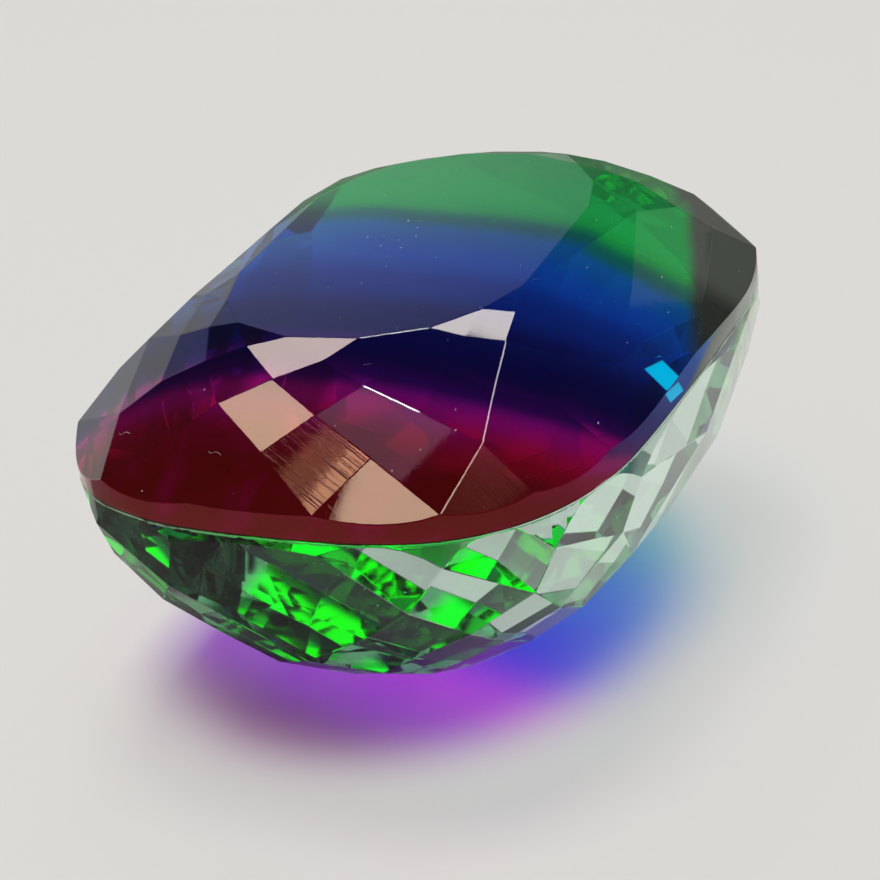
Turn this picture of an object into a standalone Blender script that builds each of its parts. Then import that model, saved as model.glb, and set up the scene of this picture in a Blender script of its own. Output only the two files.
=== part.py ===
"""Large faceted gem with an oval cushion outline, modelled at real size in metres.

The girdle is a short upright wall over the cushion outline. Flat laps cut the crown above it
and the pavilion below it. Sixteen facet stations stand round the stone, and each row of facets
sits half a station on from the row before, so every facet corner is shared by its neighbours.
The stone matches itself after half a turn, and it stands on a small flat culet at z = 0.
"""
import math
from dataclasses import dataclass

import bmesh
import bpy
from mathutils import Vector

NAME = "tourmaline"
MM = 0.001

# Height levels above (+) and below (-) the sharp upper edge of the girdle, in mm.
TABLE_HEIGHT = 5.51
CROWN_BREAK_HEIGHT = 2.08
CULET_DEPTH = 17.55

# The girdle prism starts taller than the finished stone, and has this many sides.
GIRDLE_SIDES = 144
CUT_SNAP = 0.000002
WELD = 0.00002
FLAT_ANGLE = math.radians(0.05)

# Sixteen full stations and sixteen half stations between them.
STATIONS = 16
QUARTER = STATIONS // 4
STEP = 0.5
COLOUR = (0.05, 0.16, 0.20, 1.0)
ROUGHNESS = 0.02
INDEX = 1.6


@dataclass(frozen=True)
class Outline:
    """Cushion outline, in mm: r = mean + oval cos 2a + square cos 4a + shoulder cos 6a."""

    mean: float
    oval: float
    square: float
    shoulder: float

    def radius(self, angle):
        """Distance from the stone's axis at an angle in radians."""
        return (self.mean + self.oval * math.cos(2 * angle) + self.square * math.cos(4 * angle)
                + self.shoulder * math.cos(6 * angle))


@dataclass(frozen=True)
class Stations:
    """Facet places in degrees from +X, given for the quarter from -Y round to +X."""

    full: tuple
    half: tuple

    def angle(self, place):
        """Angle of a station, where 0 is the -Y end and 4 is the +X side."""
        if place < 0:
            return -180.0 - self.angle(-place)
        if place > QUARTER:
            return -self.angle(2 * QUARTER - place)
        if place == int(place):
            return self.full[int(place)]
        return self.half[int(place)]


@dataclass(frozen=True)
class Ring:
    """One level of facet corners: its outline, and how its corners are turned off the stations."""

    outline: Outline
    turn: float
    swing: float

    def at(self, stations, place):
        """Angle in radians and radius in mm of the corner at a station."""
        base = stations.angle(place)
        angle = math.radians(base + self.turn + self.swing * math.cos(2 * math.radians(base)))
        return angle, self.outline.radius(angle)


@dataclass(frozen=True)
class Level:
    """One pavilion level: its depth in mm and how far the sides and the corners lie below it."""

    depth: float
    side: float
    corner: float = 0.0
    turn: float = 0.0

    def height(self, angle):
        """Height of the level at an angle in radians, negative below the girdle."""
        return -(self.depth + self.side * math.cos(2 * angle) - self.corner * math.cos(4 * angle))


CROWN_STATIONS = Stations(full=(-90.0, -71.9, -57.6, -40.3, 0.0), half=(-81.2, -64.8, -50.2, -33.0))
PAVILION_STATIONS = Stations(full=(-90.0, -70.4, -54.0, -37.3, 0.0), half=(-78.7, -61.9, -46.5, -26.5))

GIRDLE = Outline(mean=19.1, oval=-3.04, square=-0.93, shoulder=0.38)

# Crown corners, from the girdle edge up to the stars round the table.
CROWN_RINGS = (
    Ring(GIRDLE, turn=3.7, swing=-4.6),
    Ring(Outline(16.88, -2.86, -0.69, 0.33), turn=7.8, swing=0.3),
    Ring(Outline(15.00, -2.71, -0.40, 0.23), turn=3.2, swing=-3.3),
    Ring(Outline(13.13, -2.82, -0.23, 0.13), turn=3.0, swing=-2.3),
    Ring(Outline(11.90, -2.49, -0.17, 0.04), turn=0.9, swing=-4.1),
)
TABLE_TURN = 2.3

# Pavilion corners: the lower girdle edge, the first ring below it, then levels down to the culet.
PAVILION_EDGE = Ring(GIRDLE, turn=-3.2, swing=0.0)
EDGE_LEVEL = Level(depth=2.69, side=-0.15, corner=0.74)
PAVILION_RING = Ring(Outline(18.11, -2.59, -1.00, 0.57), turn=2.3, swing=3.8)
PAVILION_LEVELS = (
    Level(depth=5.83, side=-0.26),
    Level(depth=8.50, side=0.06, turn=-0.8),
    Level(depth=10.25, side=-0.81, turn=-3.0),
    Level(depth=12.70, side=0.08, turn=-2.9),
    Level(depth=14.05, side=-0.20, turn=-2.9),
    Level(depth=15.30, side=-0.10, turn=-2.9),
    Level(depth=16.25, side=-0.10, turn=-2.9),
    Level(depth=17.00, side=-0.05, turn=-2.9),
)


def places(offset):
    """All the stations round the stone; an offset of one half gives the half stations."""
    first = 1 - STATIONS // 2
    return [first - offset + index for index in range(STATIONS)]


def wrap(place):
    """Bring a station number back into one turn of the stone."""
    half_turn = STATIONS // 2
    if place > half_turn:
        return place - STATIONS
    if place <= -half_turn:
        return place + STATIONS
    return place


def polar(angle, radius, height):
    """Point at an angle in radians, with radius and height in mm."""
    return Vector((radius * math.cos(angle), radius * math.sin(angle), height))


class Lap:
    """One flat facet plane, stated by its outward normal and its distance from the centre."""

    def __init__(self, first, second, third):
        self.normal = (second - first).cross(third - first).normalized()
        outward = (first + second + third).to_2d()
        if self.normal.to_2d().dot(outward) < 0:
            self.normal.negate()
        self.distance = self.normal.dot(first)

    def height_at(self, angle, radius):
        """Point of the plane straight above or below a place in plan."""
        flat = polar(angle, radius, 0.0)
        return polar(angle, radius, (self.distance - self.normal.dot(flat)) / self.normal.z)

    def point_at(self, angle, height):
        """Point of the plane at a height, looking along an angle."""
        along = self.normal.dot(polar(angle, 1.0, 0.0))
        return polar(angle, (self.distance - self.normal.z * height) / along, height)


def row_laps(row, lower, upper, low_key):
    """Laps through one corner of a ring and the two corners beside it on the next ring."""
    return {place: Lap(lower[place], upper[wrap(place - STEP)], upper[wrap(place + STEP)])
            for place in places(low_key[row % 2])}


def crown_laps():
    """Facet planes of the crown: the triangles on the girdle first and the stars last."""
    girdle_ring, break_ring, *upper_rings = CROWN_RINGS
    below = {place: polar(*girdle_ring.at(CROWN_STATIONS, place), 0.0) for place in places(0)}
    above = {place: polar(*break_ring.at(CROWN_STATIONS, place), CROWN_BREAK_HEIGHT)
             for place in places(STEP)}
    laps = [Lap(above[place], below[wrap(place - STEP)], below[wrap(place + STEP)])
            for place in places(STEP)]
    for row, ring in enumerate(upper_rings):
        facets = row_laps(row, below, above, (0, STEP))
        laps += facets.values()
        corners = {place: facet.height_at(*ring.at(CROWN_STATIONS, place))
                   for place, facet in facets.items()}
        below, above = above, corners
    kites = row_laps(1, below, above, (0, STEP))
    laps += kites.values()
    table = {place: facet.point_at(math.radians(CROWN_STATIONS.angle(place) + TABLE_TURN), TABLE_HEIGHT)
             for place, facet in kites.items()}
    laps += row_laps(0, above, table, (0, STEP)).values()
    return laps


def ring_corners(ring, level, stations):
    """Corners of a pavilion ring, each at its level's height."""
    corners = {}
    for place in stations:
        angle, radius = ring.at(PAVILION_STATIONS, place)
        corners[place] = polar(angle, radius, level.height(angle))
    return corners


def pavilion_laps():
    """Facet planes of the pavilion, from the girdle down to the ring round the culet."""
    above = ring_corners(PAVILION_EDGE, EDGE_LEVEL, places(STEP))
    below = ring_corners(PAVILION_RING, PAVILION_LEVELS[0], places(0))
    laps = list(row_laps(0, below, above, (0, STEP)).values())
    for row, level in enumerate(PAVILION_LEVELS[1:]):
        facets = row_laps(row, above, below, (STEP, 0))
        laps += facets.values()
        corners = {}
        for place, facet in facets.items():
            angle = math.radians(PAVILION_STATIONS.angle(place) + level.turn)
            corners[place] = facet.point_at(angle, level.height(angle))
        above, below = below, corners
    return laps


def girdle_prism():
    """Upright prism over the girdle outline, tall enough for every lap to start outside it."""
    stone = bmesh.new()
    bmesh.ops.create_cone(stone, cap_ends=True, segments=GIRDLE_SIDES, radius1=1.0, radius2=1.0,
                          depth=1.0)
    for corner in stone.verts:
        angle = math.atan2(corner.co.y, corner.co.x)
        height = TABLE_HEIGHT if corner.co.z > 0 else -CULET_DEPTH
        corner.co = polar(angle, GIRDLE.radius(angle), height) * MM
    return stone


def grind(stone, lap):
    """Cut the stone flat along a lap, keep the inner side and close the cut."""
    bmesh.ops.bisect_plane(stone, geom=stone.verts[:] + stone.edges[:] + stone.faces[:],
                           dist=CUT_SNAP, plane_co=lap.normal * lap.distance * MM,
                           plane_no=lap.normal, clear_outer=True)
    rim = [edge for edge in stone.edges if edge.is_boundary]
    if rim:
        bmesh.ops.edgeloop_fill(stone, edges=rim)


def cut_stone():
    """Grind every facet, weld the shared corners and stand the stone on its culet."""
    stone = girdle_prism()
    for lap in crown_laps() + pavilion_laps():
        grind(stone, lap)
    bmesh.ops.remove_doubles(stone, verts=stone.verts[:], dist=WELD)
    bmesh.ops.dissolve_limit(stone, angle_limit=FLAT_ANGLE, verts=stone.verts[:], edges=stone.edges[:])
    bmesh.ops.recalc_face_normals(stone, faces=stone.faces[:])
    bmesh.ops.translate(stone, verts=stone.verts[:], vec=(0.0, 0.0, CULET_DEPTH * MM))
    mesh = bpy.data.meshes.new(NAME)
    stone.to_mesh(mesh)
    stone.free()
    return mesh


def crystal_material():
    """Clear blue-green crystal."""
    material = bpy.data.materials.new("crystal")
    material.use_nodes = True
    shader = material.node_tree.nodes["Principled BSDF"]
    shader.inputs["Base Color"].default_value = COLOUR
    shader.inputs["Roughness"].default_value = ROUGHNESS
    shader.inputs["Metallic"].default_value = 0.0
    shader.inputs["IOR"].default_value = INDEX
    shader.inputs["Transmission Weight"].default_value = 1.0
    return material


def main():
    """Build the stone as one object in its own collection."""
    for item in list(bpy.data.objects):
        bpy.data.objects.remove(item, do_unlink=True)
    collection = bpy.data.collections.new("faceted_tourmaline")
    bpy.context.scene.collection.children.link(collection)
    stone = bpy.data.objects.new(NAME, cut_stone())
    stone.data.materials.append(crystal_material())
    collection.objects.link(stone)


main()
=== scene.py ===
"""Looks of a large faceted gem: clear crystal with a banded colour film sealed at its girdle.

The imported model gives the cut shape. The crystal is a copy of it with its facet edges worn by
a hair, the film is a thin slice through the girdle, the bond seam is the chipped line round the
girdle where the crown and the pavilion are bonded, and dust lies on the upper facets.
"""
import logging
import math
import random
from collections.abc import Callable
from dataclasses import dataclass, field
from enum import Enum

import bpy
from mathutils import Matrix, Vector


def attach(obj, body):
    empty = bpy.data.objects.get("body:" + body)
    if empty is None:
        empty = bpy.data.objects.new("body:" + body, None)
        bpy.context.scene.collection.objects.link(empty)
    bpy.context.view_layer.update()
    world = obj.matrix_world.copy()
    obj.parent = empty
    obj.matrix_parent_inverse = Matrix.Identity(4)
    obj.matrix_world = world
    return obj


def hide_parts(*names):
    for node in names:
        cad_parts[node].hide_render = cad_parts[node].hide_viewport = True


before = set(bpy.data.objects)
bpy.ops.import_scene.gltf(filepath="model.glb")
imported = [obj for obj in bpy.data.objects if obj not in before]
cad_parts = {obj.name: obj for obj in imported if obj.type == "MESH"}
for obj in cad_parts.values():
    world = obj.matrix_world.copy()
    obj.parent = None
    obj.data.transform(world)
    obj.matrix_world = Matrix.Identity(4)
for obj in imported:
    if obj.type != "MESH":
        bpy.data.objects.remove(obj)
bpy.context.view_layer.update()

LOG = logging.getLogger("gem")
MM = 0.001
STONE_NODE = "tourmaline"
BODY = "root"
GIRDLE_HEIGHT = 17.55 * MM
WELD = 0.07 * MM
FLAT = math.radians(0.3)
CUT_SNAP = 0.001 * MM
RISE = (0.0, 1.0)
FALL = (1.0, 0.0)
BOUNCES = 24
GLOSSY_BOUNCES = 20

Colour = tuple[float, float, float]
Socket = bpy.types.NodeSocket
Sockets = bpy.types.bpy_prop_collection


class Side(Enum):
    """Which side of a level cut is kept."""

    ABOVE = "above"
    BELOW = "below"


class Ray(Enum):
    """Light Path outputs by name."""

    SHADOW = "Is Shadow Ray"
    CAMERA = "Is Camera Ray"
    GLOSSY = "Is Glossy Ray"
    REFLECTED = "Is Reflection Ray"


def linear(red: int, green: int, blue: int) -> Colour:
    """Turn an 8-bit display colour into the linear values that the shaders take.

    Args:
        red: Red from 0 to 255.
        green: Green from 0 to 255.
        blue: Blue from 0 to 255.

    Returns:
        The linear red, green and blue from 0 to 1.
    """
    def channel(value: int) -> float:
        """Linear value of one channel."""
        share = value / 255.0
        return share / 12.92 if share <= 0.04045 else ((share + 0.055) / 1.055) ** 2.4
    return channel(red), channel(green), channel(blue)


def opaque(colour: Colour) -> tuple[float, float, float, float]:
    """Colour with a full alpha, as a colour socket takes it."""
    return (*colour, 1.0)


def metres(places: tuple) -> tuple:
    """Turn millimetres into metres."""
    return tuple(place * MM for place in places)


# ----------------
# Node helpers


@dataclass
class NodeBench:
    """A node tree with short calls for adding and joining nodes."""

    tree: bpy.types.NodeTree

    def add(self, kind: str, values: dict | None = None, **settings: object) -> bpy.types.Node:
        """Add a node, set its properties and fill its inputs.

        Args:
            kind: Node type without the ShaderNode prefix.
            values: Sockets and constants for its inputs, by name or number.
            settings: Properties of the node by name.

        Returns:
            The new node.
        """
        node = self.tree.nodes.new("ShaderNode" + kind)
        for name, value in settings.items():
            setattr(node, name, value)
        for label, value in (values or {}).items():
            slot = node.inputs[label]
            if isinstance(value, Socket):
                self.tree.links.new(value, slot)
            else:
                slot.default_value = opaque(value) if slot.type == "RGBA" else value
        return node

    def maths(self, operation: str, *values: object) -> Socket:
        """Work out one sum from sockets and constants."""
        return self.add("Math", dict(enumerate(values)), operation=operation).outputs[0]

    def spread(self, value: Socket, source: tuple, target: tuple = RISE, soft: bool = False) -> Socket:
        """Map one range of values onto another, and ease its ends where it is soft."""
        numbers = dict(zip(("Value", "From Min", "From Max", "To Min", "To Max"), (value, *source, *target)))
        return self.add("MapRange", numbers,
                        interpolation_type="SMOOTHSTEP" if soft else "LINEAR").outputs["Result"]

    def blend(self, share: Socket, first: object, second: object) -> Socket:
        """Mix two colours, sockets or linear values, by the second one's share."""
        return self.add("Mix", {"Factor": share, "A": first, "B": second}, data_type="RGBA").outputs["Result"]

    def stack(self, share: Socket, first: Socket, second: Socket) -> Socket:
        """Mix two shaders by the second one's share."""
        return self.add("MixShader", {0: share, 1: first, 2: second}).outputs["Shader"]

    def deepen(self, colour: Socket, depth: object) -> Socket:
        """Pass a colour's light through it a number of times."""
        return self.add("Gamma", {"Color": colour, "Gamma": depth}).outputs["Color"]

    def split(self, vector: Socket) -> Sockets:
        """Split a vector into X, Y and Z."""
        return self.add("SeparateXYZ", {"Vector": vector}).outputs

    def place(self) -> tuple[Socket, Sockets]:
        """Give the place on the piece as one vector, and as X, Y and Z."""
        spot = self.add("TexCoord").outputs["Object"]
        return spot, self.split(spot)

    def stretch(self, vector: Socket, scale: tuple, turn: float = 0.0) -> Socket:
        """Stretch a texture's place, and turn it about Z."""
        values = {"Vector": vector, "Scale": scale, "Rotation": (0.0, 0.0, turn)}
        return self.add("Mapping", values).outputs["Vector"]

    def finish(self, shader: Socket) -> None:
        """Join a shader to the material's output."""
        self.add("OutputMaterial", {"Surface": shader})

    def ramp(self, factor: Socket, stops: tuple) -> Socket:
        """Add a colour ramp.

        Args:
            factor: Socket that drives the ramp.
            stops: Pairs of a place from 0 to 1 and a linear colour.

        Returns:
            The ramp's colour socket.
        """
        node = self.add("ValToRGB", {"Fac": factor})
        node.color_ramp.interpolation = "EASE"
        elements = node.color_ramp.elements
        while len(elements) < len(stops):
            elements.new(0.5)
        for element, (place, colour) in zip(elements, stops):
            element.position = place
            element.color = opaque(colour)
        return node.outputs["Color"]


def new_material(name: str) -> tuple[bpy.types.Material, NodeBench]:
    """Add an empty node material.

    Args:
        name: Name of the material.

    Returns:
        The material and a bench on its node tree.
    """
    material = bpy.data.materials.new(name)
    material.use_nodes = True
    material.node_tree.nodes.clear()
    return material, NodeBench(material.node_tree)


def new_group(name: str, inputs: dict[str, float], outputs: dict[str, str]) -> bpy.types.NodeTree:
    """Add a shader node group with number inputs and named outputs.

    Args:
        name: Name of the group.
        inputs: Default value of each number input by name; Vector is always there too.
        outputs: Socket type of each output by name.

    Returns:
        The group with its Group Input and Group Output nodes.
    """
    group = bpy.data.node_groups.new(name, "ShaderNodeTree")
    group.interface.new_socket("Vector", in_out="INPUT", socket_type="NodeSocketVector")
    for label, value in inputs.items():
        socket = group.interface.new_socket(label, in_out="INPUT", socket_type="NodeSocketFloat")
        socket.default_value = value
    for label, kind in outputs.items():
        group.interface.new_socket(label, in_out="OUTPUT", socket_type=kind)
    group.nodes.new("NodeGroupInput")
    group.nodes.new("NodeGroupOutput")
    return group


# ----------------
# Finishes


@dataclass(frozen=True)
class PolishWear:
    """Fine polishing lines that follow each facet, and a few stray scratches and pits."""

    line_scale: float = 15000.0
    line_stretch: float = 0.012
    line_detail: float = 4.0
    dull_edge: tuple = (0.50, 0.66)
    dull_from: tuple = (0.4, 1.0)
    scratch_scale: float = 700.0
    scratch_stretch: float = 0.2
    scratch_turn: float = 0.9
    scratch_width: float = 0.004
    scratch_share: float = 0.69
    pit_scale: float = 1500.0
    pit_size: float = 0.05
    pit_share: float = 0.55
    mark_depth: float = 0.5

    def group(self) -> bpy.types.NodeTree:
        """Build the node group once.

        Returns:
            A group with Height and Haze outputs.
        """
        name = "polish_wear"
        if name in bpy.data.node_groups:
            return bpy.data.node_groups[name]
        tree = new_group(name, {"Lines": 1.0}, {"Height": "NodeSocketFloat", "Haze": "NodeSocketFloat"})
        bench = NodeBench(tree)
        into = tree.nodes["Group Input"].outputs
        out = tree.nodes["Group Output"].inputs
        values = {"Vector": bench.stretch(into["Vector"], (1.0, self.line_stretch, 1.0)),
                  "Scale": self.line_scale, "Detail": self.line_detail}
        lines = bench.add("TexNoise", values).outputs["Fac"]
        marks = self.marks(bench, into["Vector"])
        ground = bench.maths("MULTIPLY", lines, into["Lines"])
        streaks = bench.maths("MULTIPLY", bench.spread(lines, self.dull_edge, soft=True),
                              bench.spread(into["Lines"], self.dull_from))
        height = bench.maths("SUBTRACT", ground, bench.maths("MULTIPLY", marks, self.mark_depth))
        tree.links.new(height, out["Height"])
        tree.links.new(bench.maths("MAXIMUM", marks, streaks), out["Haze"])
        return tree

    def marks(self, bench: NodeBench, vector: Socket) -> Socket:
        """Add the stray scratches and pits.

        Args:
            bench: Bench of the group.
            vector: Place on the facet.

        Returns:
            1 in a scratch or a pit, and 0 elsewhere.
        """
        skew = bench.stretch(vector, (1.0, self.scratch_stretch, 1.0), self.scratch_turn)
        patches, cells, spots = (
            bench.add(kind, {"Vector": spot, "Scale": scale}, **settings).outputs[result]
            for kind, spot, scale, result, settings in (
                ("TexNoise", vector, self.scratch_scale, "Fac", {}),
                ("TexVoronoi", skew, self.scratch_scale, "Distance", {"feature": "DISTANCE_TO_EDGE"}),
                ("TexVoronoi", vector, self.pit_scale, "Distance", {})))
        kinds = ((cells, self.scratch_width, self.scratch_share), (spots, self.pit_size, self.pit_share))
        return bench.maths("MAXIMUM", *(
            bench.maths("MULTIPLY", bench.maths("LESS_THAN", distance, size),
                        bench.maths("GREATER_THAN", patches, share)) for distance, size, share in kinds))


@dataclass(frozen=True)
class CrystalFinish:
    """Clear polished crystal, which lets lamp light through unbent."""

    index: float = 1.6
    tint: Colour = (0.80, 0.98, 0.87)
    shadow: Colour = (0.97, 0.98, 0.975)
    worn: float = 0.35
    relief: float = 0.0016 * MM
    wear: PolishWear = PolishWear()

    def build(self) -> bpy.types.Material:
        """Build the material.

        Returns:
            The crystal material.
        """
        material, bench = new_material("clear_crystal")
        values = {"Vector": bench.add("UVMap", uv_map="facets").outputs["UV"],
                  "Lines": bench.add("Attribute", attribute_name="grain").outputs["Fac"]}
        wear = bench.add("Group", values, node_tree=self.wear.group()).outputs
        bump = bench.add("Bump", {"Strength": 1.0, "Distance": self.relief, "Height": wear["Height"]})
        shader = bench.add("BsdfPrincipled", {
            "Transmission Weight": 1.0, "IOR": self.index, "Base Color": self.tint,
            "Roughness": bench.maths("MULTIPLY", wear["Haze"], self.worn), "Normal": bump.outputs["Normal"]})
        clear = bench.add("BsdfTransparent", {"Color": self.shadow})
        light = bench.add("LightPath").outputs
        bench.finish(bench.stack(light[Ray.SHADOW.value], shader.outputs["BSDF"], clear.outputs["BSDF"]))
        return material


@dataclass(frozen=True)
class FilmSpot:
    """Sockets that tell where on the film a ray lands, and how."""

    where: Socket
    axes: Sockets
    along: Socket
    share: Socket
    # corner: mask of the far corner, which gets painted shade.
    corner: Socket
    patch: Socket
    straight: Socket
    shadow: Socket
    seen: Socket


@dataclass(frozen=True)
class FilmFinish:
    """Banded film: what it lets through, scatters, mirrors from below and throws on the floor, with painted
    shade in one corner and painted light and shade in what its underside mirrors.

    Places are millimetres, and those of bands run along the stone from the near end to the far end.
    The colours of `through` are those of one straight crossing of both of the film's faces, and
    those of `glow` are about those of one face.
    """

    reach: float = 21.5
    tilt: float = 0.12
    mirror_tilt: float = 0.10
    tilt_over: tuple = (-4.0, 4.0)
    sway: float = 0.0022
    sway_scale: float = 55.0
    sway_detail: float = 1.0
    bow: float = 56.0
    bow_from: float = -4.0
    # Painted shade in the far corner: a darker grey for light let through, a grey for scatter, and the
    # corner's slope and edge.
    shade: tuple = (66, 70, 66)
    painted_shade_scatter: tuple = (106, 108, 104)
    painted_shade_slope: float = 2.1
    painted_shade_edge: tuple = (29.0, 32.0)
    through: tuple = (
        (-21.5, (72, 6, 12)), (-15.0, (96, 8, 18)), (-13.4, (196, 16, 66)), (-12.0, (236, 26, 126)),
        (-9.8, (232, 40, 176)), (-8.5, (84, 16, 124)), (-7.2, (14, 12, 92)), (-5.0, (8, 20, 104)),
        (-1.5, (10, 80, 168)), (2.5, (26, 126, 222)), (5.5, (34, 136, 206)), (7.2, (36, 128, 132)),
        (9.0, (50, 186, 104)), (13.2, (50, 180, 100)), (17.0, (56, 170, 100)), (21.5, (84, 120, 96)),
    )
    scatter: tuple = (
        (-21.5, (108, 15, 14)), (-15.5, (104, 8, 11)), (-12.5, (108, 5, 38)), (-10.4, (130, 4, 92)),
        (-8.5, (64, 6, 92)), (-6.4, (32, 20, 118)), (0.0, (32, 74, 164)), (5.0, (30, 96, 172)),
        (9.0, (46, 192, 104)), (21.5, (64, 172, 108)),
    )
    glow: tuple = (
        (-21.5, (200, 70, 150)), (-15.0, (152, 14, 160)), (-10.0, (190, 8, 236)), (-5.6, (230, 10, 255)),
        (-3.8, (186, 30, 255)), (-2.0, (96, 60, 255)), (1.0, (60, 122, 250)), (4.5, (70, 164, 248)),
        (15.0, (130, 210, 225)), (21.5, (190, 225, 215)),
    )
    # Green is the film's own mirror colour; the pale middle stretch and the dark far stretch are painted
    # light and shade in its reflection.
    mirrored: tuple = (
        (-21.5, (0, 235, 50)), (-17.0, (0, 240, 50)), (-15.2, (185, 240, 205)), (11.6, (185, 240, 205)),
        (13.0, (0, 255, 50)), (15.5, (0, 255, 50)), (16.4, (6, 96, 48)), (17.4, (22, 40, 32)),
        (21.5, (44, 48, 46)),
    )
    # Painted light and shade in the underside's reflection: a pale side, a gain past a full mirror, a dark
    # spot, and a dark side that turns dimmer past the middle.
    painted_pale: tuple = (225, 252, 236)
    painted_gain: float = 1.4
    painted_dark_spot: tuple = (6.6, -8.6)
    painted_dark_spot_edge: tuple = (1.4, 2.2)
    painted_pale_from: tuple = (7.0, 10.0)
    painted_pale_slope: float = 0.2
    painted_dark: tuple = (24, 40, 34)
    painted_dim: tuple = (124, 150, 136)
    painted_dark_to: tuple = (-8.6, -6.8)
    painted_dark_until: tuple = (0.0, 4.0)
    under: float = -0.5
    straight_floor: float = 0.25
    face_share: float = 0.5
    haze_share: float = 0.055
    haze_near: float = 0.15
    haze_near_edge: tuple = (-11.0, -6.5)
    haze_far: float = 0.14
    haze_far_edge: tuple = (7.5, 10.5)
    patch_colour: tuple = (0, 205, 250)
    patch_centre: tuple = (13.3, -2.2)
    patch_turn: float = math.radians(-23.0)
    patch_half: tuple = (1.25, 0.8)
    patch_soft: float = 0.08
    patch_haze: float = 0.7
    cloud: tuple = (130, 4, 56)
    cloud_scale: float = 420.0
    cloud_stretch: float = 0.4
    cloud_detail: float = 2.0
    cloud_edge: tuple = (0.48, 0.72)
    cloud_share: float = 0.7
    cloud_until: tuple = (-13.0, -10.0)
    haze_limit: float = 0.88
    pool_centre: tuple = (-3.0, 2.0)
    pool_size: tuple = (11.0, 13.0)
    glow_depth: float = 0.98
    pool_rise: tuple = (0.38, 0.60)
    pool_fall: tuple = (1.06, 1.50)
    pool_tilt: float = 0.35
    plain_cast: Colour = (0.94, 0.94, 0.94)

    def bands(self, bench: NodeBench, place: Socket, stops: tuple) -> Socket:
        """Add one run of bands, from places in mm and display colours."""
        return bench.ramp(place, tuple(((mm + self.reach) / (2 * self.reach), linear(*shade))
                                       for mm, shade in stops))

    def leaning(self, bench: NodeBench, axes: Sockets, slope: float) -> Socket:
        """Share of the stone's length, from 0 to 1, that moves along at a slope with X."""
        along = bench.maths("ADD", axes["Y"], bench.maths("MULTIPLY", axes["X"], slope))
        return bench.spread(along, metres((-self.reach, self.reach)))

    def along(self, bench: NodeBench, where: Socket, axes: Sockets) -> Socket:
        """Place along the bands, which tilt, sway and bow toward one side.

        Args:
            bench: Bench of the material.
            where: Place on the film as a vector.
            axes: The same place as X, Y and Z.

        Returns:
            The place in metres.
        """
        values = {"Vector": where, "Scale": self.sway_scale, "Detail": self.sway_detail}
        drift = bench.add("TexNoise", values).outputs["Fac"]
        sway = bench.maths("MULTIPLY", bench.maths("SUBTRACT", drift, 0.5), self.sway)
        tilt = bench.spread(axes["Y"], metres(self.tilt_over), (0.0, self.tilt))
        lean = bench.maths("ADD", bench.maths("MULTIPLY", axes["X"], tilt), sway)
        beyond = bench.maths("MINIMUM", bench.maths("SUBTRACT", axes["X"], self.bow_from * MM), 0.0)
        bow = bench.maths("MULTIPLY", bench.maths("MULTIPLY", beyond, beyond), self.bow)
        return bench.maths("ADD", bench.maths("ADD", axes["Y"], lean), bow)

    def pool(self, bench: NodeBench, axes: Sockets) -> Socket:
        """Strength of the coloured light that the film throws down, from 0 to 1.

        Args:
            bench: Bench of the material.
            axes: Place on the film.

        Returns:
            The strength, highest in a ring and none under the middle or past the rim.
        """
        squares = []
        for label, middle, size in zip("XY", self.pool_centre, self.pool_size):
            offset = bench.maths("DIVIDE", bench.maths("SUBTRACT", axes[label], middle * MM), size * MM)
            squares.append(bench.maths("POWER", bench.maths("ABSOLUTE", offset), 2.0))
        distance = bench.maths("SQRT", bench.maths("ADD", *squares))
        return bench.maths("MULTIPLY", bench.spread(distance, self.pool_rise, soft=True),
                           bench.spread(distance, self.pool_fall, FALL, True))

    def patch(self, bench: NodeBench, axes: Sockets) -> Socket:
        """Strength of the one pale blue patch near the rim, from 0 to 1.

        Args:
            bench: Bench of the material.
            axes: Place on the film.

        Returns:
            The strength, 1 inside a small slanted bar.
        """
        across = bench.maths("SUBTRACT", axes["X"], self.patch_centre[0] * MM)
        along = bench.maths("SUBTRACT", axes["Y"], self.patch_centre[1] * MM)
        cosine, sine = math.cos(self.patch_turn), math.sin(self.patch_turn)
        sides = []
        for half, (first, second) in zip(self.patch_half, ((cosine, sine), (-sine, cosine))):
            offset = bench.maths("ADD", bench.maths("MULTIPLY", across, first),
                                 bench.maths("MULTIPLY", along, second))
            edge = metres((half - self.patch_soft, half + self.patch_soft))
            sides.append(bench.spread(bench.maths("ABSOLUTE", offset), edge, FALL, True))
        return bench.maths("MULTIPLY", *sides)

    def spot(self, bench: NodeBench) -> FilmSpot:
        """Gather what the layers of the film depend on.

        Args:
            bench: Bench of the material.

        Returns:
            The sockets.
        """
        where, axes = bench.place()
        along = self.along(bench, where, axes)
        # Mask of the far corner, which gets painted shade.
        corner = bench.maths("ADD", bench.maths("MULTIPLY", axes["X"], self.painted_shade_slope), axes["Y"])
        slant = bench.add("LayerWeight", {"Blend": 0.5}).outputs["Facing"]
        shadow = bench.add("LightPath").outputs[Ray.SHADOW.value]
        return FilmSpot(
            where=where, axes=axes, along=along, patch=self.patch(bench, axes),
            share=bench.spread(along, metres((-self.reach, self.reach))),
            corner=bench.spread(corner, metres(self.painted_shade_edge), soft=True),
            straight=bench.maths("MAXIMUM", bench.maths("SUBTRACT", 1.0, slant), self.straight_floor),
            shadow=shadow, seen=bench.maths("SUBTRACT", 1.0, shadow))

    def clear(self, bench: NodeBench, spot: FilmSpot) -> Socket:
        """Let light through: deeper at a slant, greyed by painted shade in the far corner, and as a coloured
        pool for lamp light.

        Args:
            bench: Bench of the material.
            spot: Where the ray lands.

        Returns:
            The shader.
        """
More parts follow.
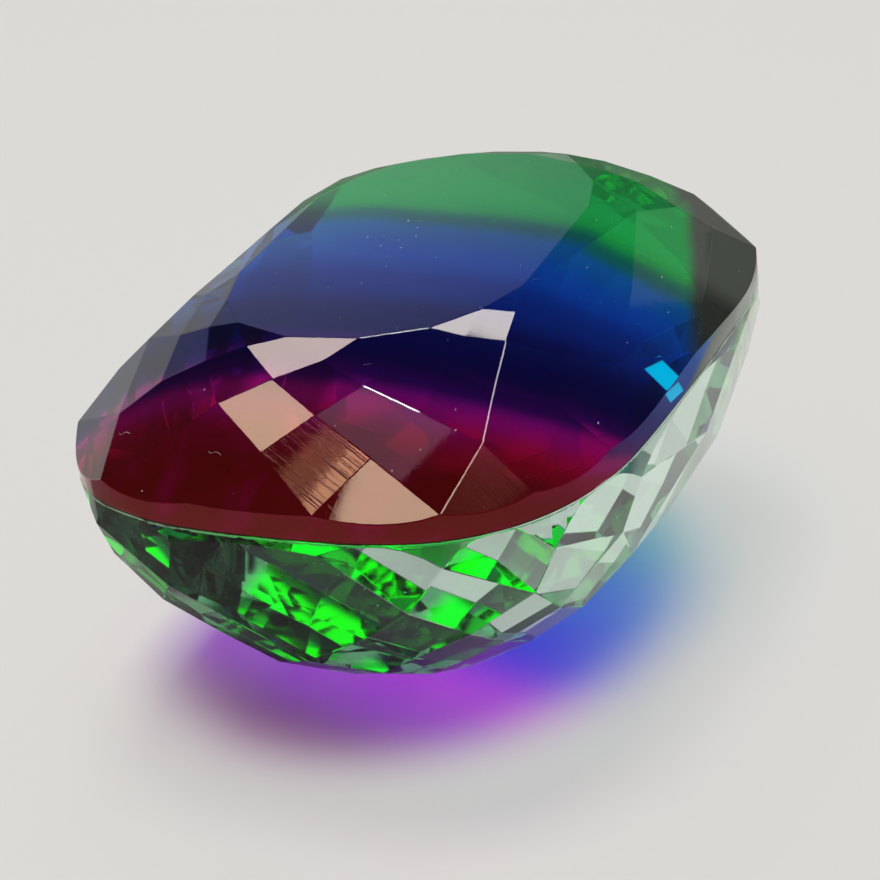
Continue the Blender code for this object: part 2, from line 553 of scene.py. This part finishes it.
        # Painted shade: the far corner lets through a darker grey.
        with_painted_shade = bench.blend(spot.corner, self.bands(bench, spot.share, self.through), linear(*self.shade))
        through = bench.blend(spot.patch, with_painted_shade, linear(*self.patch_colour))
        tint = bench.deepen(through, bench.maths("DIVIDE", self.face_share, spot.straight))
        thrown = self.bands(bench, self.leaning(bench, spot.axes, self.pool_tilt), self.glow)
        cast = bench.blend(self.pool(bench, spot.axes), self.plain_cast, thrown)
        colour = bench.blend(spot.shadow, tint, bench.deepen(cast, self.glow_depth))
        return bench.add("BsdfTransparent", {"Color": colour}).outputs["BSDF"]

    def haze(self, bench: NodeBench, spot: FilmSpot) -> Socket:
        """Scatter light in the bands' own colours, clouded toward the near end and grey in the far corner of
        painted shade.

        Args:
            bench: Bench of the material.
            spot: Where the ray lands.

        Returns:
            The shader.
        """
        values = {"Vector": bench.stretch(spot.where, (1.0, self.cloud_stretch, 1.0)),
                  "Scale": self.cloud_scale, "Detail": self.cloud_detail}
        wisps = bench.add("TexNoise", values).outputs["Fac"]
        cloudy = bench.maths("MULTIPLY", bench.spread(wisps, self.cloud_edge, (0.0, self.cloud_share), True),
                             bench.spread(spot.along, metres(self.cloud_until), FALL, True))
        colour = bench.blend(cloudy, self.bands(bench, spot.share, self.scatter), linear(*self.cloud))
        # Painted shade: the far corner scatters grey.
        colour = bench.blend(spot.corner, colour, linear(*self.painted_shade_scatter))
        colour = bench.blend(spot.patch, colour, linear(*self.patch_colour))
        return bench.add("BsdfDiffuse", {"Color": colour}).outputs["BSDF"]

    def haze_depth(self, bench: NodeBench, spot: FilmSpot) -> Socket:
        """Share of light that the film scatters, more at a slant and none for shadows.

        Args:
            bench: Bench of the material.
            spot: Where the ray lands.

        Returns:
            The share.
        """
        near = bench.spread(spot.along, metres(self.haze_near_edge), (self.haze_near, self.haze_share), True)
        far = bench.spread(spot.along, metres(self.haze_far_edge), (0.0, self.haze_far), True)
        slanted = bench.maths("DIVIDE", bench.maths("ADD", near, far),
                              bench.maths("POWER", spot.straight, 2.0))
        depth = bench.maths("MAXIMUM", slanted, bench.maths("MULTIPLY", spot.patch, self.patch_haze))
        return bench.maths("MULTIPLY", bench.maths("MINIMUM", depth, self.haze_limit), spot.seen)

    def mirror(self, bench: NodeBench, spot: FilmSpot) -> Socket:
        """Mirror the pavilion in the underside, in the film's own green mirror bands with painted light and
        shade in the reflection: a pale side, a pale middle stretch, a dark far stretch, a dark side and a
        dark spot, and a painted brightening past a full mirror.

        Args:
            bench: Bench of the material.
            spot: Where the ray lands.

        Returns:
            The shader.
        """
        side = bench.maths("ADD", spot.axes["X"], bench.maths("MULTIPLY", spot.axes["Y"], self.painted_pale_slope))
        streaks = self.bands(bench, self.leaning(bench, spot.axes, self.mirror_tilt), self.mirrored)
        # Painted light: a pale side in the reflection.
        colour = bench.blend(bench.spread(side, metres(self.painted_pale_from), soft=True),
                             streaks, linear(*self.painted_pale))
        # Painted shade: a dark side in the reflection, dimmer past the middle.
        painted_dark = bench.blend(bench.spread(spot.axes["Y"], metres(self.painted_dark_until), soft=True),
                           linear(*self.painted_dark), linear(*self.painted_dim))
        colour = bench.blend(bench.spread(spot.axes["X"], metres(self.painted_dark_to), FALL, True),
                             colour, painted_dark)
        # Painted shade: a dark spot in the reflection.
        painted_dark_spot = (*metres(self.painted_dark_spot), GIRDLE_HEIGHT - ColourFilm.depth)
        away = bench.add("VectorMath", {0: spot.where, 1: painted_dark_spot}, operation="DISTANCE").outputs["Value"]
        colour = bench.blend(bench.spread(away, metres(self.painted_dark_spot_edge), FALL, True),
                             colour, linear(*self.painted_dark))
        # Painted brightening: the mirror gives back more light than falls on it.
        painted_brightening = bench.add("VectorMath", {"Vector": colour, "Scale": self.painted_gain}, operation="SCALE")
        values = {"Roughness": 0.0, "Color": painted_brightening.outputs["Vector"]}
        return bench.add("BsdfGlossy", values, distribution="GGX").outputs["BSDF"]

    def build(self) -> bpy.types.Material:
        """Build the material.

        Returns:
            The film material.
        """
        material, bench = new_material("colour_film")
        spot = self.spot(bench)
        body = bench.stack(self.haze_depth(bench, spot), self.clear(bench, spot), self.haze(bench, spot))
        face = bench.add("NewGeometry").outputs
        under = bench.maths("LESS_THAN", bench.split(face["True Normal"])["Z"], self.under)
        outside = bench.maths("SUBTRACT", 1.0, face["Backfacing"])
        mirrored = bench.maths("MULTIPLY", bench.maths("MULTIPLY", under, outside), spot.seen)
        bench.finish(bench.stack(mirrored, body, self.mirror(bench, spot)))
        return material


@dataclass(frozen=True)
class SeamFinish:
    """Chipped, frosted rim of the bond, with painted light from the coloured film: grey-green on one side,
    bright green to pale toward the other.
    """

    # Painted light from the coloured film: grey-green toward one end, bright green to pale toward the other.
    tones: tuple = ((-15.0, (130, 145, 130)), (-6.0, (150, 190, 150)), (0.0, (90, 235, 110)),
                    (9.0, (60, 235, 100)), (15.0, (200, 235, 215)))
    chip_scale: float = 3500.0
    frosting: tuple = (0.15, 0.6)
    relief: float = 0.04 * MM

    def build(self) -> bpy.types.Material:
        """Build the material.

        Returns:
            The seam material.
        """
        material, bench = new_material("bond_seam")
        spot, axes = bench.place()
        chips = bench.add("TexVoronoi", {"Vector": spot, "Scale": self.chip_scale}).outputs["Distance"]
        low, high = self.tones[0][0], self.tones[-1][0]
        # Painted light from the film, laid by place across the stone.
        tone = bench.ramp(bench.spread(axes["X"], metres((low, high))),
                          tuple(((mm - low) / (high - low), linear(*shade)) for mm, shade in self.tones))
        bump = bench.add("Bump", {"Distance": self.relief, "Height": chips}).outputs["Normal"]
        frost = bench.spread(chips, RISE, self.frosting)
        shader = bench.add("BsdfPrincipled", {"Base Color": tone, "Roughness": frost, "Normal": bump})
        bench.finish(shader.outputs["BSDF"])
        return material


@dataclass(frozen=True)
class DustFinish:
    """Pale lint and dust."""

    mottle: float = 900.0
    tones: tuple = ((0.35, (0.35, 0.33, 0.30)), (0.65, (0.85, 0.84, 0.82)))
    roughness: float = 0.9

    def build(self) -> bpy.types.Material:
        """Build the material.

        Returns:
            The dust material.
        """
        material, bench = new_material("dust")
        spot = bench.add("TexCoord").outputs["Object"]
        mottle = bench.add("TexNoise", {"Vector": spot, "Scale": self.mottle}).outputs["Fac"]
        tone = bench.ramp(mottle, self.tones)
        shader = bench.add("BsdfPrincipled", {"Base Color": tone, "Roughness": self.roughness})
        bench.finish(shader.outputs["BSDF"])
        return material


@dataclass(frozen=True)
class FloorFinish:
    """Plain pale tabletop. In the stone's outside it is mirrored in a painted darker colour, but for one
    painted bright zone beside it.
    """

    tone: Colour = (0.762, 0.785, 0.778)
    roughness: float = 0.75
    # Painted reflection: colours that only rays mirrored by the stone's outside see, darker, but bright in
    # one zone beside the stone.
    mirrored: Colour = (0.20, 0.205, 0.20)
    painted_bright: Colour = (0.95, 1.0, 0.96)
    painted_bright_near: tuple = (-12.0, -2.0)
    painted_bright_far: tuple = (46.0, 54.0)
    bright_side: tuple = (25.0, 29.0)

    def build(self) -> bpy.types.Material:
        """Build the material.

        Returns:
            The floor material.
        """
        material, bench = new_material("pale_floor")
        light = bench.add("LightPath").outputs
        # Painted reflection: only rays that the stone's outside mirrors see the darker colour and the bright
        # zone.
        outside = bench.maths("MULTIPLY", light[Ray.GLOSSY.value], light[Ray.REFLECTED.value])
        _, axes = bench.place()
        edges = (("Y", self.painted_bright_near, RISE), ("Y", self.painted_bright_far, FALL), ("X", self.bright_side, FALL))
        near, far, side = (bench.spread(axes[axis], metres(pair), ends, True) for axis, pair, ends in edges)
        painted_bright_zone = bench.maths("MULTIPLY", bench.maths("MULTIPLY", near, far), side)
        tone = bench.blend(outside, self.tone, bench.blend(painted_bright_zone, self.mirrored, self.painted_bright))
        shader = bench.add("BsdfPrincipled", {"Base Color": tone, "Roughness": self.roughness})
        bench.finish(shader.outputs["BSDF"])
        return material


# ----------------
# Mesh helpers


def deselect() -> None:
    """Deselect every piece."""
    for item in bpy.context.selected_objects:
        item.select_set(False)


def show_only(piece: bpy.types.Object) -> None:
    """Deselect everything and make one piece active.

    Args:
        piece: The piece.
    """
    deselect()
    piece.select_set(True)
    bpy.context.view_layer.objects.active = piece


def start_edit(piece: bpy.types.Object, kind: str) -> None:
    """Open one piece for editing with nothing selected.

    Args:
        piece: The piece to edit.
        kind: What is selected: VERT, EDGE or FACE.
    """
    show_only(piece)
    bpy.ops.object.mode_set(mode="EDIT")
    bpy.ops.mesh.select_mode(type=kind)
    bpy.ops.mesh.select_all(action="DESELECT")


def pick(piece: bpy.types.Object, kind: str, chosen: Callable[[object], bool]) -> None:
    """Select the edges or faces that pass a test, and leave the piece open for editing.

    Args:
        piece: The piece to edit.
        kind: EDGE or FACE.
        chosen: The test for one edge or face.
    """
    start_edit(piece, kind)
    bpy.ops.object.mode_set(mode="OBJECT")
    for item in piece.data.edges if kind == "EDGE" else piece.data.polygons:
        item.select = chosen(item)
    bpy.ops.object.mode_set(mode="EDIT")


def span(piece: bpy.types.Object, edge: bpy.types.MeshEdge) -> Vector:
    """Give the vector from one end of an edge to the other."""
    first, second = (piece.data.vertices[index].co for index in edge.vertices)
    return second - first


def cad_copy(name: str) -> bpy.types.Object:
    """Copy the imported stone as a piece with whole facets.

    Args:
        name: Name of the new piece.

    Returns:
        The new piece, with its triangles merged back into flat facets.
    """
    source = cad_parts[STONE_NODE]
    piece = bpy.data.objects.new(name, source.data.copy())
    piece.data.name = name
    bpy.context.scene.collection.objects.link(piece)
    show_only(piece)
    bpy.ops.object.mode_set(mode="EDIT")
    bpy.ops.mesh.select_all(action="SELECT")
    bpy.ops.mesh.remove_doubles(threshold=WELD)
    bpy.ops.mesh.dissolve_limited(angle_limit=FLAT)
    bpy.ops.object.mode_set(mode="OBJECT")
    return piece


def cut_level(piece: bpy.types.Object, height: float, keep: Side) -> None:
    """Cut a piece level and close the cut.

    Args:
        piece: The piece to cut.
        height: Height of the cut in metres.
        keep: The side that stays.
    """
    show_only(piece)
    bpy.ops.object.mode_set(mode="EDIT")
    bpy.ops.mesh.select_all(action="SELECT")
    bpy.ops.mesh.bisect(plane_co=(0.0, 0.0, height), plane_no=(0.0, 0.0, 1.0), use_fill=True,
                        clear_inner=keep is Side.ABOVE, clear_outer=keep is Side.BELOW,
                        threshold=CUT_SNAP)
    bpy.ops.object.mode_set(mode="OBJECT")


def dress(piece: bpy.types.Object, material: bpy.types.Material) -> None:
    """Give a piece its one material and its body.

    Args:
        piece: The piece.
        material: Its material.
    """
    piece.data.materials.clear()
    piece.data.materials.append(material)
    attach(piece, BODY)


# ----------------
# The stone


@dataclass
class Crystal:
    """The cut crystal, with its facet edges worn by a hair."""

    edge_wear: float = 0.036 * MM
    shortest: float = 0.5 * MM
    sharp: float = math.radians(4.0)
    upright: float = 0.02
    near: float = math.radians(2.0)
    stray: float = 1.2
    fine: tuple = (0.02, 0.18)
    patch_step: float = 0.1
    patch_run: int = 20
    stroke: tuple = (-0.88, 0.33, 0.36)
    seed: int = 11
    coarse: tuple = (((0.051, -0.667, 0.743), 1.0), ((0.162, -0.493, 0.855), 0.42),
                     ((0.438, -0.53, 0.726), 0.8), ((0.151, -0.713, 0.685), 0.35),
                     ((-0.017, -0.613, 0.79), 0.3))
    finish: CrystalFinish = field(default_factory=CrystalFinish)

    def build(self) -> bpy.types.Object:
        """Build the crystal.

        Returns:
            The finished piece.
        """
        piece = cad_copy("crystal")
        self.lay_facets(piece)
        self.wear_edges(piece)
        dress(piece, self.finish.build())
        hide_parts(STONE_NODE)
        return piece

    def lay_facets(self, piece: bpy.types.Object) -> None:
        """Lay each facet flat in a UV map in metres, and mark how coarse its polish is.

        Args:
            piece: The crystal.
        """
        turns = random.Random(self.seed)
        stroke = Vector(self.stroke)
        layout = piece.data.uv_layers.new(name="facets")
        grain = piece.data.attributes.new("grain", "FLOAT", "FACE")
        for index, facet in enumerate(piece.data.polygons):
            along = (stroke - facet.normal * stroke.dot(facet.normal)).normalized()
            coarse = max((share for normal, share in self.coarse
                          if facet.normal.angle(Vector(normal)) < self.near), default=None)
            if coarse is None:
                along.rotate(Matrix.Rotation(turns.uniform(-self.stray, self.stray), 3, facet.normal))
                coarse = turns.uniform(*self.fine)
            grain.data[index].value = coarse
            across = along.cross(facet.normal)
            offset = self.patch_step * (index % self.patch_run)
            for corner, vertex in zip(facet.loop_indices, facet.vertices):
                spot = piece.data.vertices[vertex].co
                layout.data[corner].uv = (spot.dot(across) + offset, spot.dot(along))

    def wear_edges(self, piece: bpy.types.Object) -> None:
        """Round the longer edges between facets and shade the girdle wall smooth.

        Args:
            piece: The crystal.
        """
        start_edit(piece, "EDGE")
        bpy.ops.mesh.edges_select_sharp(sharpness=self.sharp)
        bpy.ops.object.mode_set(mode="OBJECT")
        rim = {key for facet in piece.data.polygons if self.is_wall(facet) for key in facet.edge_keys}
        for edge in piece.data.edges:
            edge.select = edge.select and edge.key not in rim and span(piece, edge).length > self.shortest
        bpy.ops.object.mode_set(mode="EDIT")
        bpy.ops.transform.edge_bevelweight(value=1.0)
        bpy.ops.object.mode_set(mode="OBJECT")
        wear = piece.modifiers.new("edge_wear", "BEVEL")
        wear.width = self.edge_wear
        wear.segments = 1
        wear.limit_method = "WEIGHT"
        wear.use_clamp_overlap = False
        bpy.ops.object.modifier_apply(modifier=wear.name)
        bpy.ops.object.shade_smooth()
        crisp = {key for facet in piece.data.polygons if not self.is_wall(facet) for key in facet.edge_keys}
        for edge in piece.data.edges:
            edge.use_edge_sharp = edge.key in crisp

    def is_wall(self, facet: bpy.types.MeshPolygon) -> bool:
        """Tell whether a facet belongs to the upright girdle wall."""
        return abs(facet.normal.z) < self.upright


@dataclass
class ColourFilm:
    """Thin slice across the stone at the bond, which holds the coloured bands."""

    depth: float = 1.40 * MM
    thickness: float = 0.08 * MM
    inset: float = 0.997
    finish: FilmFinish = field(default_factory=FilmFinish)

    def build(self) -> bpy.types.Object:
        """Build the film.

        Returns:
            The finished piece.
        """
        piece = cad_copy("colour_film")
        top = GIRDLE_HEIGHT - self.depth
        cut_level(piece, top, Side.BELOW)
        cut_level(piece, top - self.thickness, Side.ABOVE)
        piece.data.transform(Matrix.Diagonal((self.inset, self.inset, 1.0, 1.0)))
        dress(piece, self.finish.build())
        return piece


@dataclass
class BondSeam:
    """Chipped line round the girdle's wall, where the crown and the pavilion are bonded."""

    depth: float = 1.50 * MM
    width: float = 0.13 * MM
    inset: float = 1.0008
    thickness: float = 0.05 * MM
    cuts: int = 3
    chip: float = 0.11 * MM
    chip_rarity: float = 2.5
    upper_chip: float = 0.25
    level: float = 0.95
    seed: int = 23
    finish: SeamFinish = field(default_factory=SeamFinish)

    def build(self) -> bpy.types.Object:
        """Build the seam.

        Returns:
            The finished piece.
        """
        piece = cad_copy("bond_seam")
        top = GIRDLE_HEIGHT - self.depth
        cut_level(piece, top, Side.BELOW)
        cut_level(piece, top - self.width, Side.ABOVE)
        self.chip_rim(piece, top)
        show_only(piece)
        shell = piece.modifiers.new("shell", "SOLIDIFY")
        shell.thickness = self.thickness
        shell.offset = -1.0
        bpy.ops.object.modifier_apply(modifier=shell.name)
        dress(piece, self.finish.build())
        return piece

    def chip_rim(self, piece: bpy.types.Object, top: float) -> None:
        """Keep the outer band of the slice and break its two edges.

        Args:
            piece: The slice.
            top: Height of its upper edge.
        """
        bites = random.Random(self.seed)
        pick(piece, "FACE", lambda facet: abs(facet.normal.z) > self.level)
        bpy.ops.mesh.delete(type="ONLY_FACE")
        bpy.ops.object.mode_set(mode="OBJECT")
        pick(piece, "EDGE", lambda edge: abs(span(piece, edge).z) < self.width / 4)
        bpy.ops.mesh.subdivide(number_cuts=self.cuts)
        bpy.ops.object.mode_set(mode="OBJECT")
        for vertex in piece.data.vertices:
            bite = self.chip * bites.random() ** self.chip_rarity
            vertex.co.z += -bite * self.upper_chip if vertex.co.z > top - self.width / 2 else bite
            vertex.co.xy *= self.inset


@dataclass
class Dust:
    """Flecks and short fibres that lie on the upper facets."""

    flecks: int = 60
    fibres: int = 3
    fleck_size: tuple = (0.018 * MM, 0.055 * MM)
    fleck_ragged: tuple = (0.6, 1.2)
    fleck_length: float = 1.3
    fleck_flat: float = 0.35
    fleck_lift: float = 0.2
    fibre_width: float = 0.02 * MM
    fibre_length: float = 0.8 * MM
    fibre_sides: int = 6
    fibre_cuts: int = 11
    fibre_sine: tuple = (0.12, 5.0)
    fibre_cosine: tuple = (0.05, 9.0)
    upward: float = 0.6
    smallest: float = 1.5 * MM * MM
    seed: int = 31
    fleck_seed: int = 3
    finish: DustFinish = field(default_factory=DustFinish)

    def build(self, host: bpy.types.Object) -> bpy.types.Object:
        """Build the dust.

        Args:
            host: The crystal that it lies on.

        Returns:
            The finished piece.
        """
        fleck, fibre = self.fleck(), self.fibre()
        places = random.Random(self.seed)
        facets = [facet for facet in host.data.polygons
                  if facet.normal.z > self.upward and facet.area > self.smallest]
        copies = []
        for index in range(self.flecks + self.fibres):
            facet = places.choices(facets, weights=[item.area for item in facets])[0]
            corners = [host.data.vertices[corner].co for corner in facet.vertices]
            shares = [places.random() ** 2 for _ in corners]
            spot = sum((corner * share for corner, share in zip(corners, shares)), Vector()) / sum(shares)
            model = fleck if index < self.flecks else fibre
            size = places.uniform(*self.fleck_size) / self.fleck_size[1] if model is fleck else 1.0
            turn = facet.normal.to_track_quat("Z", "Y").to_matrix().to_4x4()
            spin = Matrix.Rotation(places.uniform(0.0, math.tau), 4, "Z")
            piece = bpy.data.objects.new("dust_copy", model.data.copy())
            piece.data.transform(Matrix.Translation(spot) @ turn @ spin @ Matrix.Scale(size, 4))
            bpy.context.scene.collection.objects.link(piece)
            copies.append(piece)
        for model in (fleck, fibre):
            bpy.data.objects.remove(model)
        show_only(copies[0])
        for piece in copies:
            piece.select_set(True)
        bpy.ops.object.join()
        dust = bpy.context.active_object
        dust.name = dust.data.name = "dust"
        dress(dust, self.finish.build())
        return dust

    def fleck(self) -> bpy.types.Object:
        """Model one ragged fleck.

        Returns:
            The fleck, to be copied.
        """
        deselect()
        bpy.ops.mesh.primitive_ico_sphere_add(subdivisions=1, radius=self.fleck_size[1])
        fleck = bpy.context.active_object
        shape = random.Random(self.fleck_seed)
        for vertex in fleck.data.vertices:
            vertex.co *= shape.uniform(*self.fleck_ragged)
            vertex.co.x *= self.fleck_length
            vertex.co.z = vertex.co.z * self.fleck_flat + self.fleck_lift * self.fleck_size[1]
        return fleck

    def fibre(self) -> bpy.types.Object:
        """Model one bent fibre.

        Returns:
            The fibre, to be copied.
        """
        deselect()
        bpy.ops.mesh.primitive_cylinder_add(vertices=self.fibre_sides, radius=self.fibre_width / 2,
                                            depth=self.fibre_length, rotation=(0.0, math.pi / 2, 0.0))
        fibre = bpy.context.active_object
        bpy.ops.object.transform_apply(location=False, rotation=True, scale=False)
        pick(fibre, "EDGE", lambda edge: span(fibre, edge).length > self.fibre_length / 2)
        bpy.ops.mesh.subdivide(number_cuts=self.fibre_cuts)
        bpy.ops.object.mode_set(mode="OBJECT")
        for vertex in fibre.data.vertices:
            share = vertex.co.x / self.fibre_length
            bend = (self.fibre_sine[0] * math.sin(share * self.fibre_sine[1])
                    + self.fibre_cosine[0] * math.cos(share * self.fibre_cosine[1]))
            vertex.co.y += self.fibre_length * bend
            vertex.co.z += self.fibre_width * 0.5
        return fibre


# ----------------
# The studio


@dataclass
class Panel:
    """Soft light panel that faces the stone, placed in degrees and metres."""

    name: str
    azimuth: float
    height: float
    size: tuple[float, float]
    radiance: float
    colour: Colour
    distance: float = 0.7
    mirrored: bool = True

    def build(self) -> bpy.types.Object:
        """Add the lamp.

        Returns:
            The lamp's object.
        """
        lamp = bpy.data.lights.new(self.name, "AREA")
        lamp.shape = "RECTANGLE"
        lamp.size, lamp.size_y = self.size
        lamp.energy = self.radiance * math.pi * self.size[0] * self.size[1]
        lamp.color = self.colour
        item = bpy.data.objects.new(self.name, lamp)
        around, up = math.radians(self.azimuth), math.radians(self.height)
        toward = Vector((math.cos(around) * math.cos(up), math.sin(around) * math.cos(up), math.sin(up)))
        centre = Vector((0.0, 0.0, GIRDLE_HEIGHT))
        item.location = centre + toward * self.distance
        item.rotation_euler = toward.to_track_quat("Z", "Y").to_euler()
        item.visible_glossy = self.mirrored
        bpy.context.scene.collection.objects.link(item)
        return item


@dataclass
class Studio:
    """Floor, soft light and camera. The camera's spot and lens are in millimetres."""

    camera_spot: tuple[float, float, float] = (61.54, -120.30, 77.00)
    yaw: float = math.radians(27.16)
    pitch: float = math.radians(26.05)
    roll: float = math.radians(-7.78)
    lens: float = 110.45
    backdrop: Colour = (0.72, 0.72, 0.71)
    gloom: Colour = (0.025, 0.025, 0.029)
    bright_side: float = math.radians(150.0)
    bright_edge: tuple = (0.66, 0.82)
    floor_size: float = 8.0
    sensor: float = 36.0
    near_clip: float = 0.01
    band_heights: tuple = (0.0, 0.30, 0.42, 0.50, 1.0)
    horizon: Colour = (0.62, 0.63, 0.62)
    band: Colour = (0.58, 0.58, 0.57)
    band_seen: Colour = (0.30, 0.30, 0.29)
    band_mirrored: Colour = (0.22, 0.25, 0.52)
    above: Colour = (0.03, 0.03, 0.033)

    def build(self) -> None:
        """Build the floor, the lights and the camera."""
        self.floor()
        self.sky()
        for panel in self.panels():
            panel.build()
        self.camera()

    def panels(self) -> list[Panel]:
        """The lamps: small panels that the facets mirror, and one large key.

        Returns:
            The panels in order.
        """
        warm, white = (1.0, 0.68, 0.48), (1.0, 0.98, 0.95)
        return [
            Panel("window_a", 138.5, 54.5, (0.09, 0.09), 7.0, (1.0, 0.80, 0.74)),
            Panel("window_b", 205.0, 57.2, (0.08, 0.08), 8.0, warm),
            Panel("window_c", 259.3, 54.5, (0.06, 0.06), 8.0, warm),
            Panel("window_f", 234.1, 57.4, (0.06, 0.06), 7.5, (1.0, 0.52, 0.30)),
            Panel("window_d", 99.5, 48.5, (0.14, 0.05), 7.0, (1.0, 0.92, 0.86)),
            Panel("window_e", 336.0, 63.0, (0.05, 0.05), 0.5, (1.0, 0.42, 0.32)),
            Panel("spark_a", 152.5, 81.3, (0.06, 0.06), 24.0, white),
            Panel("spark_b", 60.0, 61.0, (0.05, 0.05), 7.0, white),
            Panel("spark_c", 33.0, 68.5, (0.05, 0.05), 8.0, white),
            Panel("spark_d", 323.0, 71.0, (0.05, 0.05), 8.0, (1.0, 0.74, 0.58)),
            Panel("spark_e", 118.0, 43.5, (0.04, 0.04), 8.0, white),
            Panel("haze_right", 69.8, 20.0, (0.054, 0.036), 0.17, (1.0, 1.0, 1.0)),
            Panel("window_g", 228.8, 57.4, (0.0108, 0.06), 1.7, (1.0, 0.44, 0.24)),
            Panel("veil", 244.0, 83.4, (0.20, 0.20), 0.8, (1.0, 0.66, 0.90)),
            Panel("key", 100.0, 87.0, (0.35, 0.35), 27.5, (1.0, 0.985, 0.965), 1.2, False),
        ]

    def floor(self) -> bpy.types.Object:
        """Lay the tabletop.

        Returns:
            The floor's object.
        """
        deselect()
        bpy.ops.mesh.primitive_plane_add(size=self.floor_size, location=(0.0, 0.0, 0.0))
        floor = bpy.context.active_object
        floor.name = "floor"
        floor.data.materials.append(FloorFinish().build())
        return floor

    def sky(self) -> None:
        """Keep the room dark, but for a low bright band on one side, bluer on top where it is mirrored."""
        world = bpy.data.worlds.new("room")
        bpy.context.scene.world = world
        world.use_nodes = True
        world.node_tree.nodes.clear()
        bench = NodeBench(world.node_tree)
        spot = bench.add("TexCoord").outputs["Generated"]
        height = bench.split(spot)["Z"]
        light = bench.add("LightPath").outputs
        seen, mirrored = (
            bench.ramp(height, tuple(zip(self.band_heights,
                                         (self.horizon, self.band, middle, self.above, self.above))))
            for middle in (self.band_seen, self.band_mirrored))
        toward = (math.cos(self.bright_side), math.sin(self.bright_side), 0.0)
        facing = bench.add("VectorMath", {0: spot, 1: toward}, operation="DOT_PRODUCT").outputs["Value"]
        room = bench.blend(bench.spread(facing, self.bright_edge, soft=True), self.gloom,
                           bench.blend(light[Ray.REFLECTED.value], seen, mirrored))
        colour = bench.blend(light[Ray.CAMERA.value], room, self.backdrop)
        glow = bench.add("Background", {"Strength": 1.0, "Color": colour}).outputs["Background"]
        bench.add("OutputWorld", {"Surface": glow})

    def camera(self) -> bpy.types.Object:
        """Place the camera.

        Returns:
            The camera's object.
        """
        forward = Vector((-math.sin(self.yaw) * math.cos(self.pitch),
                          math.cos(self.yaw) * math.cos(self.pitch), -math.sin(self.pitch)))
        right = forward.cross(Vector((0.0, 0.0, 1.0))).normalized()
        up = right.cross(forward)
        tilted_right = right * math.cos(self.roll) + up * math.sin(self.roll)
        tilted_up = up * math.cos(self.roll) - right * math.sin(self.roll)
        lens = bpy.data.cameras.new("camera")
        lens.lens = self.lens
        lens.sensor_width = self.sensor
        lens.sensor_fit = "HORIZONTAL"
        lens.clip_start = self.near_clip
        item = bpy.data.objects.new("camera", lens)
        turn = Matrix((tilted_right, tilted_up, -forward)).transposed().to_4x4()
        item.matrix_world = Matrix.Translation(Vector(self.camera_spot) * MM) @ turn
        bpy.context.scene.collection.objects.link(item)
        bpy.context.scene.camera = item
        return item


def set_light_paths() -> None:
    """Let light bounce often enough inside the stone, and keep strong colours strong."""
    scene = bpy.context.scene
    scene.cycles.max_bounces = BOUNCES
    scene.cycles.glossy_bounces = GLOSSY_BOUNCES
    scene.cycles.transmission_bounces = BOUNCES
    scene.cycles.transparent_max_bounces = BOUNCES
    scene.cycles.caustics_refractive = False
    scene.cycles.caustics_reflective = False
    scene.view_settings.view_transform = "Standard"


def main() -> None:
    """Build the stone and the studio in order."""
    logging.basicConfig(level=logging.INFO, format="%(name)s: %(message)s")
    crystal = Crystal().build()
    for piece in (crystal, ColourFilm().build(), BondSeam().build(), Dust().build(crystal)):
        LOG.info("%s: %d faces", piece.name, len(piece.data.polygons))
    Studio().build()
    set_light_paths()


if __name__ == "__main__":
    main()
